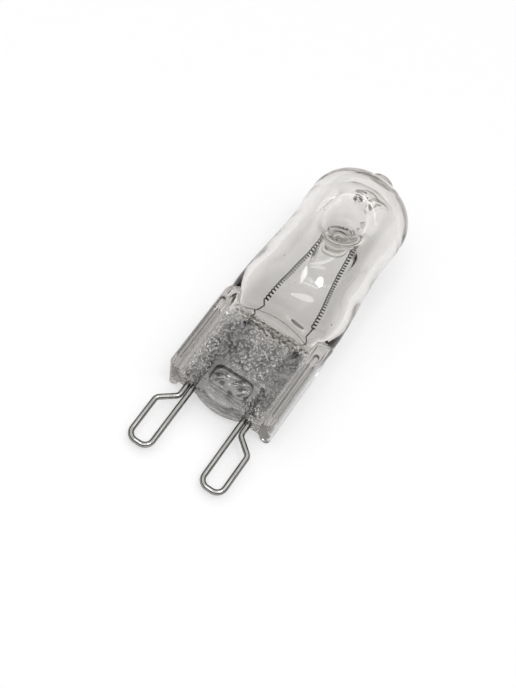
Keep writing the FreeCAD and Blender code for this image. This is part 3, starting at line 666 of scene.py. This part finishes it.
def surface_masks(points):
    """Where the jaws left pebbles on the web, and where shade is painted into the colour: dark specks on the
    web, grey on the smooth glass.
    """
    x, y, z = points.T
    base = within(x - BASE_FADE_AT, BASE_FADE)
    web = np.maximum(np.abs(y) - WEB_HALF, WEB_LOW - x)
    lug = np.maximum(np.abs(y) - LUG_WIDTH / 2, x - LUG_TOP) - LUG_MARGIN
    pocket, groove = pocket_outline(x, y), groove_outline(x, y)
    in_pocket = within(pocket, POCKET_FADE)
    pebble = base * within(np.maximum(web, -lug), PEBBLE_FADE) * (np.abs(z) < LUG_THICKNESS / 2)
    # speck_shade: where the specks of painted shade fall on the web, fading out towards the bulb.
    speck_shade = pebble * np.clip((SPECKLE_END - x) / SPECKLE_FADE, 0, 1)
    # Painted shade on the lug and ribs, then on the pocket's wave crests and rim, the grooves and their rims,
    # and the bubble's skin.
    shade = base * (1 - pebble) * np.where(lug < 0, SHADE_ON_LUG, SHADE_ON_RIB * np.clip(x, 0, 1))
    shade += SHADE_IN_POCKET * in_pocket * np.interp(pocket_waves(x, y), POCKET_CRESTS, (0, 1))
    shade += SHADE_ON_POCKET_RIM * beside(pocket, POCKET_RIM)
    shade += SHADE_IN_GROOVE * within(groove, GROOVE_FADE)
    shade += SHADE_ON_GROOVE_RIM * beside(groove, GROOVE_RIM)
    shade += SHADE_IN_BUBBLE * (np.abs(bubble_shape(x, y, z)) < BUBBLE_SKIN)
    pebble = np.maximum(pebble, PEBBLES_ON_LUG * (lug < 0) * (1 - in_pocket))
    return {"pebble": pebble, "speck_shade": speck_shade, "shade": shade}


# Metals; marks are burnt spots in the lamp's frame, black within the first reach and gone at the second

GRAIN_SPAN = (0.3, 0.7)
BURNT = (0.01, 0.01, 0.01)
HEAT_MARKS, HEAT_REACH = ((9.75, 2.75, 0.0), (9.55, -3.75, 0.0)), (0.3, 0.75)


def near(material, spot):
    """1 close to a spot of the lamp, falling to 0 a little way off."""
    nodes, links = material.node_tree.nodes, material.node_tree.links
    place_in = nodes.new("ShaderNodeTexCoord")
    gap = nodes.new("ShaderNodeVectorMath")
    gap.operation = "DISTANCE"
    gap.inputs[1].default_value = LAY @ (Vector(spot) * MM)
    links.new(place_in.outputs["Object"], gap.inputs[0])
    return ranged(material, gap.outputs["Value"], 1, 0, *(reach * MM for reach in HEAT_REACH))


def metal(name, dark, light, rough, scale, stretch=(1, 1, 1), relief=0.01, edge=1.0, marks=()):
    """Metal whose tint, gloss and relief vary with one noise, black where a weld has burnt it."""
    material, shader, _ = new_material(name)
    links = material.node_tree.links
    shader.inputs["Metallic"].default_value = 1
    shader.inputs["Specular Tint"].default_value = (edge, edge, edge, 1)
    grain = noise(material, scale, stretch=stretch)
    tint = blended(material, ranged(material, grain, 0, 1, *GRAIN_SPAN), dark, light)
    for spot in marks:
        tint = blended(material, near(material, spot), tint, BURNT)
    links.new(tint, shader.inputs["Base Color"])
    links.new(ranged(material, grain, *rough, *GRAIN_SPAN), shader.inputs["Roughness"])
    bumped(material, shader, grain, relief)
    return material


def tungsten():
    """Dark drawn wire."""
    return metal("tungsten_wire", dark=(0.02, 0.02, 0.022), light=(0.06, 0.06, 0.063), rough=(0.3, 0.5),
                 scale=6)


def molybdenum():
    """Dull etched foil."""
    return metal("molybdenum_foil", dark=(0.4, 0.395, 0.4), light=(0.6, 0.59, 0.6), rough=(0.35, 0.6),
                 scale=3, relief=0.03, marks=HEAT_MARKS)


def nickel():
    """Bright drawn wire with fine lines along it."""
    # edge=0.05 nearly blackens the wire's reflection towards its edges: a painted dark reflection.
    return metal("nickel_wire", dark=(0.28, 0.275, 0.265), light=(0.4, 0.39, 0.375), rough=(0.05, 0.1),
                 scale=1.5, stretch=(0.15, 2, 2), relief=0.002, edge=0.05)


# Pieces

def place(name, mesh, material, slot, *nodes):
    """A piece that stands for CAD nodes."""
    piece = bpy.data.objects.new(name, mesh)
    bpy.context.scene.collection.objects.link(piece)
    mesh.materials.append(material)
    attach(piece, "root")
    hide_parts(*nodes)


def dress(node, material):
    """Give a CAD piece its finish."""
    slots = frame["nodes"][node].data.materials
    slots.clear()
    slots.append(material)


def add_pieces():
    """The glass and the filament as fine meshes, and the finish of the foils and loops."""
    mesh, points = mesh_of("glass_skin", glass_shape, GLASS_GRID, 1)
    for name, values in surface_masks(points).items():
        layer = mesh.attributes.new(name, "FLOAT", "POINT")
        layer.data.foreach_set("value", values.astype(np.float32))
    place("glass_skin", mesh, quartz(), "clear_quartz", "glass_envelope")
    place("filament_coil", filament_mesh(), tungsten(), "tungsten", "filament")
    foil, wire = molybdenum(), nickel()
    for side in ("left", "right"):
        dress(side + "_foil", foil)
        dress(side + "_pin_loop", wire)


# Floor and light, in metres; a lamp is (place, length, width, brightness), the sky (height, brightness)

FLOOR_REACH, FLOOR_GLOW = 1.5, 0.5
PAPER_DARK, PAPER_LIGHT, PAPER_GRAIN, PAPER_ROUGH = (0.955, 0.955, 0.955), (0.975, 0.975, 0.975), 0.4, 0.9
LAMP_HEADING = Vector((0.4, -0.92, 0))
LAMPS = ((Vector((0.024, -0.032, 0.68)), 0.36, 0.04, 5.0),
         (Vector((-0.177, 0.117, 0.65)), 0.07, 0.2, 8.0),
         (Vector((-0.126, -0.187, 0.64)), 0.15, 0.11, 14.0),
         (Vector((-0.333, -0.051, 0.59)), 0.36, 0.07, 6.0))
SKY = ((0.0, 0.95), (0.13, 0.95), (0.19, 0.03), (0.6, 0.05), (0.7, 1.25), (1.0, 1.25))
MOST_BOUNCES, GLOSSY_BOUNCES, GLASS_BOUNCES = 32, 16, 24


def add_floor():
    """White paper that looks bright and still takes the bulb's shadow."""
    mesh = bpy.data.meshes.new("floor")
    corners = [(-1, -1), (1, -1), (1, 1), (-1, 1)]
    mesh.from_pydata([(x * FLOOR_REACH, y * FLOOR_REACH, 0) for x, y in corners], [], [(0, 1, 2, 3)])
    floor = bpy.data.objects.new("floor", mesh)
    bpy.context.scene.collection.objects.link(floor)
    material, shader, output = new_material("white_paper")
    nodes, links = material.node_tree.nodes, material.node_tree.links
    shader.inputs["Roughness"].default_value = PAPER_ROUGH
    shader.inputs["Specular IOR Level"].default_value = 0
    grain = noise(material, PAPER_GRAIN)
    links.new(blended(material, grain, PAPER_DARK, PAPER_LIGHT), shader.inputs["Base Color"])
    rays = nodes.new("ShaderNodeLightPath")
    seen = rays.outputs["Is Camera Ray"]
    for kind in ("Is Glossy Ray", "Is Transmission Ray"):
        seen = combined(material, "ADD", seen, rays.outputs[kind])
    glow = nodes.new("ShaderNodeEmission")
    mix = nodes.new("ShaderNodeMixShader")
    links.new(ranged(material, seen, 0, FLOOR_GLOW), mix.inputs["Fac"])
    links.new(shader.outputs["BSDF"], mix.inputs[1])
    links.new(glow.outputs["Emission"], mix.inputs[2])
    links.new(mix.outputs["Shader"], output.inputs["Surface"])
    mesh.materials.append(material)


def add_light():
    """A bright sky above, dark at half height and pale at the horizon, and four rounded soft lamps."""
    world = bpy.data.worlds.new("studio")
    world.use_nodes = True
    bpy.context.scene.world = world
    nodes, links = world.node_tree.nodes, world.node_tree.links
    place_in = nodes.new("ShaderNodeTexCoord")
    split = nodes.new("ShaderNodeSeparateXYZ")
    ramp = nodes.new("ShaderNodeValToRGB")
    stops = ramp.color_ramp.elements
    while len(stops) < len(SKY):
        stops.new(0.5)
    for stop, (height, level) in zip(stops, SKY):
        stop.position = height
        stop.color = (level, level, level, 1)
    links.new(place_in.outputs["Generated"], split.inputs["Vector"])
    links.new(split.outputs["Z"], ramp.inputs["Fac"])
    links.new(ramp.outputs["Color"], nodes["Background"].inputs["Color"])
    for lamp in LAMPS:
        add_lamp(*lamp)


def add_lamp(spot, length, width, level):
    """A flat rounded lamp of that brightness, turned to face the bulb."""
    data = bpy.data.lights.new("soft_lamp", "AREA")
    data.shape = "ELLIPSE"
    data.size, data.size_y = length, width
    data.energy = level * math.pi * (math.pi / 4 * length * width)
    lamp = bpy.data.objects.new("soft_lamp", data)
    back = spot.normalized()
    side = (LAMP_HEADING - back * LAMP_HEADING.dot(back)).normalized()
    turn = Matrix((side, back.cross(side), back)).transposed()
    lamp.matrix_world = Matrix.Translation(spot) @ turn.to_4x4()
    bpy.context.scene.collection.objects.link(lamp)


def set_rendering():
    """Plain colours, and enough bounces for light to pass through all the glass."""
    scene = bpy.context.scene
    scene.view_settings.view_transform = "Standard"
    scene.cycles.max_bounces = MOST_BOUNCES
    scene.cycles.glossy_bounces = GLOSSY_BOUNCES
    scene.cycles.transmission_bounces = GLASS_BOUNCES


add_camera()
add_pieces()
add_floor()
add_light()
set_rendering()
